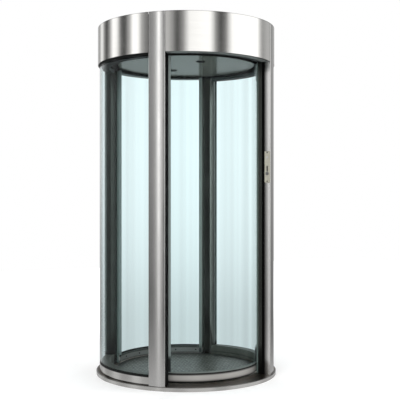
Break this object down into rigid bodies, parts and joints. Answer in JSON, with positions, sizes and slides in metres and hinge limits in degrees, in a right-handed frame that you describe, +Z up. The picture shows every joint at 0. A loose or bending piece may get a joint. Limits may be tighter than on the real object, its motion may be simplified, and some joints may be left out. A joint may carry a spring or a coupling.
{
  "type": "cylindrical security portal",
  "caption": "Round glass cabin on a steel base under a steel canopy, with fixed curved glass walls and a curved sliding door in the front and back doorways.",
  "frame": {"origin": "centre of the underside of the base, on the axis of the cylinder", "axes": "+Z up along the cylinder's axis, the front doorway faces -Y and the back doorway +Y, the fixed glass walls stand on -X and +X"},
  "size_m": [1.2198, 1.22, 2.33],
  "materials": {
    "brushed_steel": "brushed stainless steel, grain round the body",
    "satin_steel": "satin stainless sheet",
    "dark_steel": "dark walked-on steel sheet",
    "floor_mat": "grey mottled floor mat",
    "dark_anodised": "dark anodised extrusion, satin",
    "black_rubber": "black rubber seal",
    "grey_rubber": "grey-green edge strip",
    "wall_glass": "clear curved laminated glass, faint cyan",
    "door_glass": "clear curved laminated glass, faint cyan",
    "grey_paint": "semi-gloss grey paint",
    "black_paint": "matt black paint",
    "sensor_plastic": "dark sensor lens",
    "dark_metal": "dark burnished metal"
  },
  "bodies": {
    "portal": {"base_plate": "dark_steel", "base_ring": "brushed_steel", "floor_mat": "floor_mat", "floor_rim": "satin_steel", "post_front_left": "brushed_steel", "post_front_right": "brushed_steel", "post_back_left": "brushed_steel", "post_back_right": "brushed_steel", "liner_front_left": "dark_anodised", "liner_front_right": "dark_anodised", "liner_back_left": "dark_anodised", "liner_back_right": "dark_anodised", "post_seals": "black_rubber", "side_glass_left": "wall_glass", "side_glass_right": "wall_glass", "side_rail_left": "brushed_steel", "side_rail_right": "brushed_steel", "side_curb_left": "satin_steel", "side_curb_right": "satin_steel", "side_header_left": "dark_anodised", "side_header_right": "dark_anodised", "side_gaskets": "black_rubber", "canopy_front": "brushed_steel", "canopy_back": "brushed_steel", "canopy_left": "brushed_steel", "canopy_right": "brushed_steel", "canopy_soffit": "grey_paint", "canopy_beams": "black_paint", "roof_cover": "grey_paint", "ceiling_panel": "grey_paint", "ceiling_sensors": "sensor_plastic", "door_track": "black_paint", "lock_plate": "satin_steel", "lock_fittings": "dark_metal"},
    "front_door": {"front_door_glass": "door_glass", "front_door_rail": "brushed_steel", "front_door_top_rail": "dark_anodised", "front_door_gaskets": "black_rubber", "front_door_strips": "grey_rubber", "front_door_hangers": "dark_metal"},
    "back_door": {"back_door_glass": "door_glass", "back_door_rail": "brushed_steel", "back_door_top_rail": "dark_anodised", "back_door_gaskets": "black_rubber", "back_door_strips": "grey_rubber", "back_door_hangers": "dark_metal"}
  },
  "joints": [
    {"name": "front_door_slide", "type": "hinge", "parent": "portal", "child": "front_door", "pos_m": [0, 0, 0], "axis": [0, 0, 1], "range_deg": [0, 84]},
    {"name": "back_door_slide", "type": "hinge", "parent": "portal", "child": "back_door", "pos_m": [0, 0, 0], "axis": [0, 0, 1], "range_deg": [0, 84]}
  ]
}
